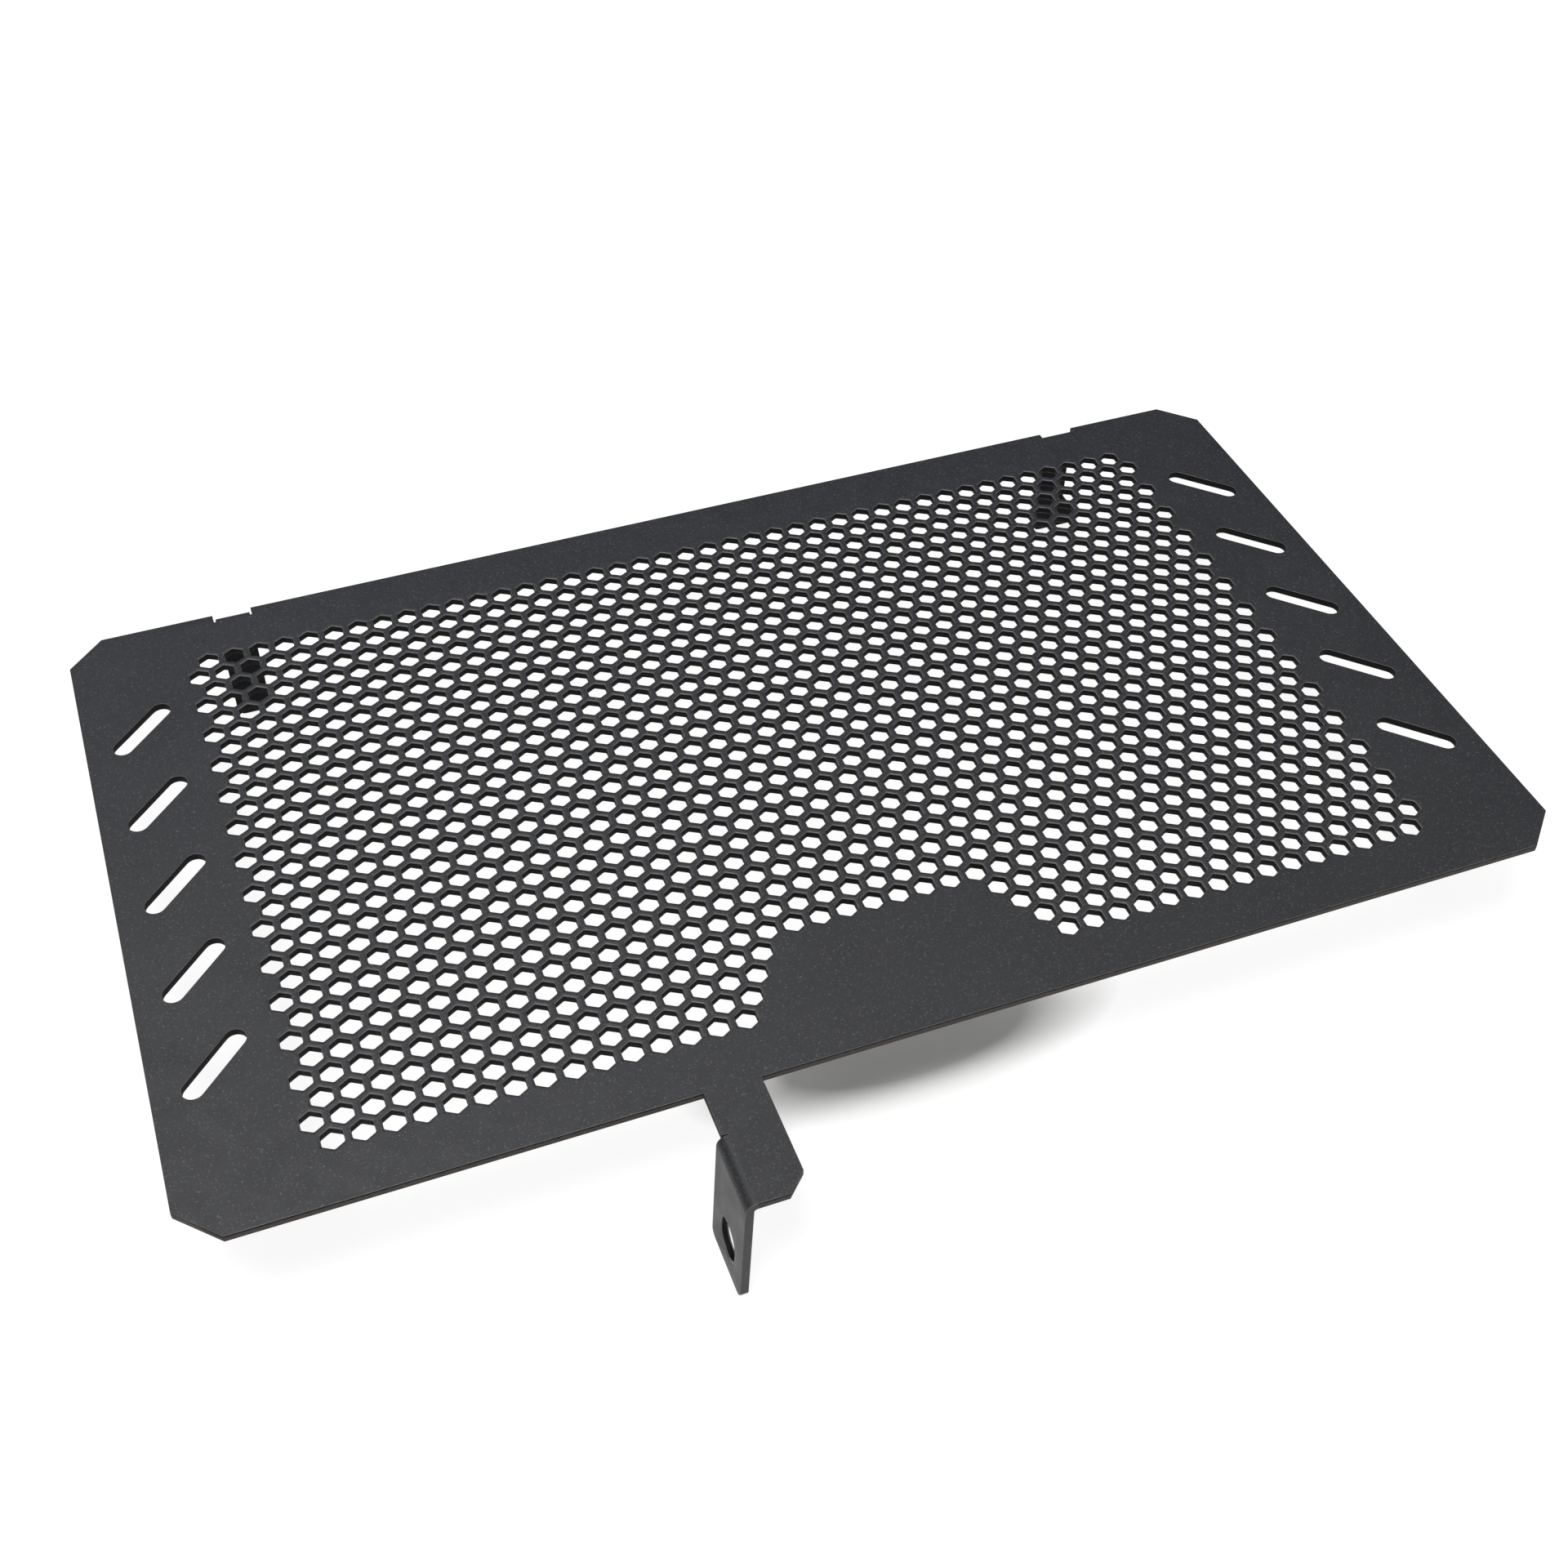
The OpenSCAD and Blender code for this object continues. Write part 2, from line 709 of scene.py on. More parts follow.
def apply_modifier(piece, kind, **settings):
    """Add a modifier to a piece, set it and apply it."""
    take(piece)
    bpy.ops.object.modifier_add(type=kind)
    modifier = piece.modifiers[-1]
    for name, value in settings.items():
        setattr(modifier, name, value)
    bpy.ops.object.modifier_apply(modifier=modifier.name)


def repeat(piece, count, step):
    """Repeat a piece along a step, welding neighbours that touch."""
    apply_modifier(
        piece,
        "ARRAY",
        count=count,
        use_relative_offset=False,
        use_constant_offset=True,
        constant_offset_displace=step,
        use_merge_vertices=True,
        merge_threshold=SAME_PLACE,
    )


def join(pieces):
    """Join pieces into the first one and weld what coincides."""
    take(*pieces)
    bpy.ops.object.join()
    edit(pieces[0])
    pick_all("VERT")
    bpy.ops.mesh.remove_doubles(threshold=SAME_PLACE)
    leave_edit()
    return pieces[0]


def draw_plate(name, corners):
    """Draw a flat plate by extruding one vertex from corner to corner, then filling the loop."""
    clear_selection()
    bpy.ops.mesh.primitive_plane_add(size=0.001, location=corners[0])
    plate = bpy.context.object
    plate.name = name
    bpy.ops.object.transform_apply(location=True, rotation=True, scale=True)
    edit(plate)
    pick_all("VERT")
    bpy.ops.mesh.merge(type="CENTER")
    for here, there in zip(corners, corners[1:]):
        bpy.ops.mesh.extrude_vertices_move(TRANSFORM_OT_translate={"value": there - here})
    pick("VERT", lambda vert: len(vert.link_edges) == 1)
    bpy.ops.mesh.edge_face_add()
    pick_all("VERT")
    bpy.ops.mesh.edge_face_add()
    leave_edit()
    return plate


def round_corners(plate, radius, segments, test):
    """Round the corners of a flat plate that pass the test."""
    edit(plate)
    if pick("VERT", test) == 0:
        raise RuntimeError(f"{plate.name} has no corner to round")
    bpy.ops.mesh.bevel(offset=radius, segments=segments, affect="VERTICES", profile=0.5)
    pick_all("VERT")
    bpy.ops.mesh.remove_doubles(threshold=SAME_PLACE)
    leave_edit()


def keep_outline(plate):
    """Remove the face of a plate and keep its edges."""
    edit(plate)
    pick_all("FACE")
    bpy.ops.mesh.delete(type="ONLY_FACE")
    leave_edit()


def draw_slot(name, centre, along, across):
    """Outline of a slot with round ends; along and across are half its length and width."""
    corners = [centre + a * along + b * across for a, b in ((-1, -1), (1, -1), (1, 1), (-1, 1))]
    slot = draw_plate(name, corners)
    round_corners(slot, across.length * SLOT_END_SHARE, SLOT_STEPS, lambda vert: True)
    keep_outline(slot)
    return slot


def mesh_cell(mesh, round_share, x, y, z):
    """The web around one hexagonal hole, with its flats facing along the long side."""
    clear_selection()
    bpy.ops.mesh.primitive_circle_add(
        vertices=6, radius=mesh.hole_width / math.sqrt(3), location=(x, y, z)
    )
    cell = bpy.context.object
    bpy.ops.object.transform_apply(location=True, rotation=True, scale=True)
    edit(cell)
    pick_all("VERT")
    bpy.ops.mesh.edge_face_add()
    pick_all("VERT")
    bpy.ops.mesh.bevel(offset=mesh.corner_cut, segments=1, affect="VERTICES")
    pick_all("FACE")
    bpy.ops.mesh.delete(type="ONLY_FACE")
    pick_all("EDGE")
    bpy.ops.transform.edge_bevelweight(value=round_share)
    bpy.ops.mesh.primitive_circle_add(
        vertices=6, radius=mesh.pitch / math.sqrt(3), location=(x, y, z)
    )
    pick_all("EDGE")
    bpy.ops.mesh.bridge_edge_loops()
    leave_edit()
    return cell


def is_blank(mesh, x, y):
    """Whether a place, from the middle of the mesh, lies in a cell of the blank patch."""
    row_step = mesh.pitch * math.sqrt(3) / 2
    nearest = None
    for row in (math.floor(y / row_step), math.ceil(y / row_step)):
        shift = 0.5 * (row % 2)
        column = round(x / mesh.pitch - shift) + shift
        distance = math.hypot(x - column * mesh.pitch, y - row * row_step)
        if nearest is None or distance < nearest[0]:
            nearest = (distance, row, abs(column))
    row = nearest[1] + mesh.half_rows
    last = (mesh.blank_columns + mesh.blank_rows - 1 - row) / 2
    return row < mesh.blank_rows and nearest[2] < last


def mesh_field(mesh, round_share, y_middle, z):
    """The whole field of cells, with the blank patch left open."""
    row_step = mesh.pitch * math.sqrt(3) / 2
    even_start = -mesh.half_rows if mesh.half_rows % 2 == 0 else 1 - mesh.half_rows
    odd_start = even_start + 1 if even_start == -mesh.half_rows else even_start - 1
    fields = []
    for start, columns in ((even_start, mesh.columns), (odd_start, mesh.columns + 1)):
        x = -(columns - 1) / 2 * mesh.pitch
        field = mesh_cell(mesh, round_share, x, y_middle + start * row_step, z)
        repeat(field, columns, (mesh.pitch, 0, 0))
        repeat(field, -start + 1, (0, 2 * row_step, 0))
        fields.append(field)
    field = join(fields)
    edit(field)
    pick("FACE", lambda face: is_blank(mesh, middle(face).x, middle(face).y - y_middle))
    bpy.ops.mesh.delete(type="FACE")
    leave_edit()
    return field


def side_slots(sheet, slots, y_middle, z):
    """Outlines of the slanted slots at both ends."""
    centre = Vector((-sheet.face_length / 2 + slots.inset, y_middle + slots.back, z))
    centre.y -= (slots.count - 1) / 2 * slots.step
    along = Vector((math.cos(slots.slant), math.sin(slots.slant), 0))
    across = Vector((-along.y, along.x, 0))
    slot = draw_slot("side_slots", centre, along * slots.length / 2, across * slots.width / 2)
    repeat(slot, slots.count, (0, slots.step, 0))
    apply_modifier(slot, "MIRROR", use_axis=(True, False, False))
    return slot


def face_outline(sheet, legs, tab, front, rear, top):
    """Outline of the flat sheet: the face, the front tab and the gaps for the rear legs."""
    half = sheet.face_length / 2
    cut = sheet.corner_chamfer
    edge = front + (rear - front - sheet.face_depth)
    fold = rear - sheet.fold_radius
    free = -tab.offset
    joined = free - tab.width
    flange_fold = joined - tab.flange_step + sheet.fold_radius
    flange_back = front + tab.flange_width
    slit = flange_back + tab.relief
    places = [
        (-half + cut, edge), (joined, edge), (joined, slit), (flange_fold, slit),
        (flange_fold, flange_back), (flange_fold, front), (free - tab.chamfer, front),
        (free, front + tab.chamfer), (free, edge), (half - cut, edge), (half, edge + cut),
        (half, rear - cut), (half - cut, rear),
    ]
    # The outline passes the right leg's gap from right to left, then the left leg's
    for side in (1, -1):
        near, far = (legs.span + side * legs.width) / 2, (legs.span - side * legs.width) / 2
        for x, y in (
            (near + side * legs.relief, rear), (near + side * legs.relief, fold),
            (near, fold), (far, fold), (far - side * legs.relief, fold),
            (far - side * legs.relief, rear),
        ):
            places.append((side * x, y))
    places += [(-half + cut, rear), (-half, rear - cut), (-half, edge + cut)]
    outline = draw_plate("face_outline", [Vector((x, y, top)) for x, y in places])
    keep_outline(outline)
    return outline


def rear_leg(sheet, legs, x, flare, rear, top):
    """Upright plate of a rear leg, below its fold."""
    half = legs.width / 2
    high = top - sheet.fold_radius
    places = [(-half, high), (-half, 0.0)]
    if flare:
        tip = half + legs.flare_reach
        places += [(tip, 0.0), (tip, legs.flare_edge), (half, legs.flare_edge + legs.flare_rise)]
    else:
        places.append((half, 0.0))
    places.append((half, high))
    leg = draw_plate("rear_leg", [Vector((x + u, rear, v)) for u, v in places])
    round_corners(leg, legs.foot_radius, FOOT_STEPS, lambda vert: vert.co.z < SAME_PLACE)
    return leg


def front_flange(sheet, legs, tab, front, top):
    """Plate of the front flange, below its fold and leaning, with its mounting slot."""
    x = -tab.offset - tab.width - tab.flange_step
    high = top - sheet.fold_radius
    back = front + tab.flange_width
    corners = [(front, 0.0), (back, 0.0), (back, high), (front, high)]
    flange = draw_plate("front_flange", [Vector((x, y, z)) for y, z in corners])
    round_corners(flange, legs.foot_radius, FOOT_STEPS, lambda vert: vert.co.z < SAME_PLACE)
    keep_outline(flange)
    slot = draw_slot(
        "mounting_slot",
        Vector((x, (front + back) / 2, tab.slot_up)),
        Vector((0, 0, tab.slot_height / 2)),
        Vector((0, tab.slot_width / 2, 0)),
    )
    edit(slot)
    pick_all("EDGE")
    bpy.ops.transform.edge_bevelweight(value=1.0)
    flange = join([flange, slot])
    edit(flange)
    pick_all("EDGE")
    bpy.ops.mesh.fill(use_beauty=True)
    pick_all("EDGE")
    centre = (x + sheet.fold_radius, (front + back) / 2, high)
    bpy.ops.transform.rotate(value=-tab.lean, orient_axis="Y", center_override=centre)
    leave_edit()
    return flange


def fill_rim(surface, mesh):
    """Fill the plain sheet between the mesh, the side slots and the outline."""
    edit(surface)
    side = mesh.pitch / math.sqrt(3)
    # The rims of the holes are shorter than this, and the border of the mesh is longer
    shortest = 0.95 * side
    pick(
        "EDGE",
        lambda edge: not edge.link_faces
        or (edge.is_boundary and edge.calc_length() > shortest),
    )
    bpy.ops.mesh.fill(use_beauty=True)
    if pick("EDGE", lambda edge: edge.is_boundary and abs(edge.calc_length() - side) < SAME_PLACE):
        raise RuntimeError("the rim didn't join the mesh")
    leave_edit()


def fold_down(surface, test, centre, axis, lean=0.0):
    """Spin the edges that pass the test through a quarter turn, less the lean."""
    edit(surface)
    if pick("EDGE", test) == 0:
        raise RuntimeError("there is no edge to fold")
    bpy.ops.mesh.spin(steps=FOLD_STEPS, angle=math.pi / 2 - lean, center=centre, axis=axis)
    leave_edit()


def draw_surface(scene):
    """The outer surface of the whole guard: face, mesh, folds, legs and flange."""
    sheet, mesh, slots = scene.guard_sheet, scene.guard_mesh, scene.guard_slots
    legs, tab = scene.guard_legs, scene.guard_tab
    front, rear, top = LOW.y, HIGH.y, HIGH.z
    y_middle = rear - sheet.face_depth / 2
    surface = join([
        face_outline(sheet, legs, tab, front, rear, top),
        side_slots(sheet, slots, y_middle, top),
        mesh_field(mesh, mesh.hole_round / tab.slot_round, y_middle - mesh.forward, top),
    ])
    fill_rim(surface, mesh)
    fold = rear - sheet.fold_radius
    low_line = top - sheet.fold_radius
    near, far = (legs.span - legs.width) / 2, (legs.span + legs.width) / 2
    fold_down(
        surface,
        lambda edge: abs(middle(edge).y - fold) < SAME_PLACE
        and near < abs(middle(edge).x) < far,
        (0, fold, low_line),
        (1, 0, 0),
    )
    flange_fold = -tab.offset - tab.width - tab.flange_step + sheet.fold_radius
    fold_down(
        surface,
        lambda edge: abs(middle(edge).x - flange_fold) < SAME_PLACE
        and abs(edge.verts[0].co.x - edge.verts[1].co.x) < SAME_PLACE
        and abs(middle(edge).y - front - tab.flange_width / 2) < SAME_PLACE,
        (flange_fold, 0, low_line),
        (0, 1, 0),
        tab.lean,
    )
    surface = join([
        surface,
        rear_leg(sheet, legs, -legs.span / 2, False, rear, top),
        rear_leg(sheet, legs, legs.span / 2, True, rear, top),
        front_flange(sheet, legs, tab, front, top),
    ])
    edit(surface)
    pick_all("VERT")
    bpy.ops.mesh.normals_make_consistent(inside=False)
    if pick("FACE", lambda face: face.normal.z < -FACING and middle(face).z > top - SAME_PLACE):
        pick_all("FACE")
        bpy.ops.mesh.flip_normals()
    leave_edit()
    return surface


def new_material(name):
    """A material that has only a shader; gives its nodes, its way to link and the shader too."""
    material = bpy.data.materials.new(name)
    material.use_nodes = True
    nodes, link = material.node_tree.nodes, material.node_tree.links.new
    nodes.clear()
    output = nodes.new("ShaderNodeOutputMaterial")
    shader = nodes.new("ShaderNodeBsdfPrincipled")
    link(shader.outputs["BSDF"], output.inputs["Surface"])
    return material, nodes, link, shader


def shade(colour, share):
    """The same colour at a share of its strength."""
    return tuple(share * part for part in colour)


def noise(nodes, link, place, width, detail, rough=0.5):
    """Noise with features of the given width, on the object's own coordinates."""
    texture = nodes.new("ShaderNodeTexNoise")
    texture.inputs["Scale"].default_value = 1.0 / width
    texture.inputs["Detail"].default_value = detail
    texture.inputs["Roughness"].default_value = rough
    link(place, texture.inputs["Vector"])
    return texture.outputs["Fac"]


def span(nodes, link, value, low, high, to_low, to_high):
    """A value carried from one span to another and kept inside it."""
    node = nodes.new("ShaderNodeMapRange")
    for name, number in zip(
        ("From Min", "From Max", "To Min", "To Max"), (low, high, to_low, to_high)
    ):
        node.inputs[name].default_value = number
    link(value, node.inputs["Value"])
    return node.outputs["Result"]


def blend_colour(nodes, link, share, first, second):
    """Mix of two colours; each is a plain colour or a socket."""
    node = nodes.new("ShaderNodeMix")
    node.data_type = "RGBA"
    for socket, colour in ((node.inputs[6], first), (node.inputs[7], second)):
        if isinstance(colour, bpy.types.NodeSocket):
            link(colour, socket)
        else:
            socket.default_value = (*colour, 1.0)
    link(share, node.inputs[0])
    return node.outputs[2]


def bump(nodes, link, height, depth, strength, below=None):
    """Bump from a height, on top of another bump if there is one."""
    node = nodes.new("ShaderNodeBump")
    node.inputs["Strength"].default_value = strength
    node.inputs["Distance"].default_value = depth
    link(height, node.inputs["Height"])
    if below is not None:
        link(below, node.inputs["Normal"])
    return node.outputs["Normal"]


def coat_skin(nodes, link, place, coat, depth):
    """The powder's grain, and a bump of that grain over a slight waviness."""
    wave_width, wave_depth = 0.0018, 0.00004
    grain = noise(nodes, link, place, coat.grain, 2.0, 0.6)
    waves = noise(nodes, link, place, wave_width, 1.0)
    skin = bump(nodes, link, waves, wave_depth, 0.4)
    return grain, bump(nodes, link, grain, depth, 0.9, skin)


def powder_coat(coat):
    """Satin black powder coat: fine grain, slight waviness, cloudy tone and light specks."""
    material, nodes, link, shader = new_material("black_powder_coat")
    place = nodes.new("ShaderNodeTexCoord").outputs["Object"]
    grain, skin = coat_skin(nodes, link, place, coat, coat.grain_depth)
    cloud_width, patch_width, patch_change = 0.03, 0.006, 0.05
    cloud = span(nodes, link, noise(nodes, link, place, cloud_width, 3.0), 0.3, 0.7, 0.0, 1.0)
    colour = blend_colour(
        nodes, link, cloud, shade(coat.colour, 0.85), shade(coat.colour, 1.15)
    )
    pit = span(nodes, link, grain, 0.3, 0.42, 0.55, 0.0)
    colour = blend_colour(nodes, link, pit, colour, shade(coat.colour, 0.3))
    speck = span(nodes, link, grain, 0.6, 0.72, 0.0, 1.0)
    colour = blend_colour(nodes, link, speck, colour, coat.speck_colour)
    link(colour, shader.inputs["Base Color"])
    shine = span(
        nodes, link, noise(nodes, link, place, patch_width, 3.0), 0.3, 0.7,
        coat.roughness - patch_change, coat.roughness + patch_change,
    )
    link(shine, shader.inputs["Roughness"])
    link(skin, shader.inputs["Normal"])
    return material


def ripples(nodes, link, place):
    """Upright ripples that the laser leaves in a wall of the sheet."""
    ripple_width, height_share = 0.0004, 0.12
    upright = nodes.new("ShaderNodeMapping")
    upright.inputs["Scale"].default_value = (1.0, 1.0, height_share)
    link(place, upright.inputs["Vector"])
    return noise(nodes, link, upright.outputs["Vector"], ripple_width, 2.0, 0.6)


def cut_edge(coat, thickness):
    """Laser-cut outline: darker just below the face and again at the bottom, with a lighter,
    browner band between.
    """
    material, nodes, link, shader = new_material("coated_cut_edge")
    place = nodes.new("ShaderNodeTexCoord").outputs["Object"]
    grain, skin = coat_skin(nodes, link, place, coat, 1.5 * coat.grain_depth)
    ripple = ripples(nodes, link, place)
    height = nodes.new("ShaderNodeSeparateXYZ")
    link(place, height.inputs["Vector"])
    # How far the borders of the bands wander, and how deep they lie below the face, all as
    # shares of the thickness
    wander, line_start, line_end, bottom_band_start, bottom_band_end = 0.4, 0.2, 0.34, 0.9, 1.0
    ragged = nodes.new("ShaderNodeMath")
    ragged.operation = "MULTIPLY_ADD"
    ragged.inputs[1].default_value = wander * thickness
    link(noise(nodes, link, place, 0.0012, 3.0, 0.7), ragged.inputs[0])
    link(height.outputs["Z"], ragged.inputs[2])
    level = ragged.outputs["Value"]
    face = HIGH.z + wander / 2 * thickness
    upper = span(
        nodes, link, level, face - line_end * thickness, face - line_start * thickness, 0.0, 1.0
    )
    # Darker again at the bottom of the wall
    bottom_band = span(
        nodes, link, level, face - bottom_band_end * thickness, face - bottom_band_start * thickness, 1.0, 0.0
    )
    black = shade(coat.edge_colour, 0.1)
    streak = span(nodes, link, ripple, 0.35, 0.65, 0.0, 1.0)
    colour = blend_colour(
        nodes, link, streak, coat.edge_colour, shade(coat.edge_colour, 1.5)
    )
    speck = span(nodes, link, grain, 0.58, 0.74, 0.0, 0.6)
    colour = blend_colour(nodes, link, speck, colour, coat.speck_colour)
    colour = blend_colour(nodes, link, bottom_band, colour, black)
    colour = blend_colour(nodes, link, upper, colour, black)
    link(colour, shader.inputs["Base Color"])
    shader.inputs["Specular IOR Level"].default_value = 0.12
    link(span(nodes, link, ripple, 0.3, 0.7, 0.55, 0.72), shader.inputs["Roughness"])
    link(bump(nodes, link, ripple, 0.00006, 0.5, skin), shader.inputs["Normal"])
    return material


def painted_shade_wall(coat):
    """Near-black colour, with faint upright ripples, that paints the shade in the holes and slots
    and on the rear legs' inner faces.
    """
    material, nodes, link, shader = new_material("near_black_painted_shade")
    place = nodes.new("ShaderNodeTexCoord").outputs["Object"]
    grain, skin = coat_skin(nodes, link, place, coat, coat.grain_depth)
    ripple = ripples(nodes, link, place)
    dark = span(nodes, link, ripple, 0.35, 0.6, 1.0, 0.0)
    colour = blend_colour(nodes, link, dark, coat.painted_shade_colour, shade(coat.painted_shade_colour, 0.5))
    speck = span(nodes, link, grain, 0.6, 0.76, 0.0, 0.3)
    colour = blend_colour(nodes, link, speck, colour, coat.speck_colour)
    link(colour, shader.inputs["Base Color"])
    shader.inputs["Specular IOR Level"].default_value = 0.12
    link(span(nodes, link, ripple, 0.3, 0.7, 0.55, 0.72), shader.inputs["Roughness"])
    link(bump(nodes, link, ripple, 0.00004, 0.4, skin), shader.inputs["Normal"])
    return material


def painted_rim_highlight(coat):
    """Painted highlight along the rounded rim of every cut: a lighter, mottled coat colour, a
    little smoother than the faces.
    """
    material, nodes, link, shader = new_material("rim_painted_highlight")
    place = nodes.new("ShaderNodeTexCoord").outputs["Object"]
    grain, skin = coat_skin(nodes, link, place, coat, coat.grain_depth)
    # Mottle of the painted highlight, which also makes the rim a little smoother
    highlight_mottle = span(nodes, link, noise(nodes, link, place, 0.004, 3.0), 0.35, 0.65, 0.0, 1.0)
    colour = blend_colour(nodes, link, highlight_mottle, shade(coat.rim_highlight_colour, 0.6), coat.rim_highlight_colour)
    speck = span(nodes, link, grain, 0.58, 0.7, 0.0, 1.0)
    colour = blend_colour(nodes, link, speck, colour, coat.speck_colour)
    link(colour, shader.inputs["Base Color"])
    link(
        span(nodes, link, highlight_mottle, 0.0, 1.0, coat.roughness - 0.02, coat.roughness - 0.1),
        shader.inputs["Roughness"],
    )
    link(skin, shader.inputs["Normal"])
    return material


def seen_directly(nodes, link):
    """One where the camera looks, also in a mirror or through glass, and zero for light."""
    rays = nodes.new("ShaderNodeLightPath")
    total = rays.outputs["Is Camera Ray"]
    for name in ("Is Glossy Ray", "Is Transmission Ray"):
        highest = nodes.new("ShaderNodeMath")
        highest.operation = "MAXIMUM"
        link(total, highest.inputs[0])
        link(rays.outputs[name], highest.inputs[1])
        total = highest.outputs["Value"]
    return total


def dark_card(stage):
    """Matt dark card with a faint mottle."""
    material, nodes, link, shader = new_material("dark_card")
    place = nodes.new("ShaderNodeTexCoord").outputs["Object"]
    mottle = span(nodes, link, noise(nodes, link, place, 0.2, 2.0), 0.3, 0.7, 0.0, 1.0)
    colour = blend_colour(
        nodes, link, mottle, shade(stage.card_colour, 0.8), stage.card_colour
    )
    link(colour, shader.inputs["Base Color"])
    shader.inputs["Roughness"].default_value = 0.9
    return material


def pale_floor(stage):
    """Matt floor seen as white with a faint shadow, which is deepest in one oval."""
    material, nodes, link, shader = new_material("pale_floor")
    shader.inputs["Base Color"].default_value = (*stage.floor_colour, 1.0)
    shader.inputs["Roughness"].default_value = 0.9
    shader.inputs["Specular IOR Level"].default_value = 0.1
    glow = nodes.new("ShaderNodeEmission")
    glow.inputs["Color"].default_value = (1.0, 1.0, 1.0, 1.0)
    glow.inputs["Strength"].default_value = stage.glow
    spot = nodes.new("ShaderNodeMapping")
    spot.vector_type = "TEXTURE"
    spot.inputs["Location"].default_value = stage.near_place
    spot.inputs["Scale"].default_value = stage.near_size
    link(nodes.new("ShaderNodeTexCoord").outputs["Object"], spot.inputs["Vector"])
    reach = nodes.new("ShaderNodeVectorMath")
    reach.operation = "LENGTH"
    link(spot.outputs["Vector"], reach.inputs[0])
    # Distances from the oval's middle, in halves of its size, where it begins and ends to fade
    fade_start, fade_end = 0.7, 1.3
    white = span(
        nodes, link, reach.outputs["Value"],
        fade_start, fade_end, 1.0 - stage.near_shadow, 1.0 - stage.shadow,
    )
    share = nodes.new("ShaderNodeMath")
    share.operation = "MULTIPLY"
    link(white, share.inputs[1])
    link(seen_directly(nodes, link), share.inputs[0])
    mix = nodes.new("ShaderNodeMixShader")
    link(share.outputs["Value"], mix.inputs["Fac"])
    link(shader.outputs["BSDF"], mix.inputs[1])
    link(glow.outputs["Emission"], mix.inputs[2])
    output = next(node for node in nodes if node.bl_idname == "ShaderNodeOutputMaterial")
    link(mix.outputs["Shader"], output.inputs["Surface"])
    return material


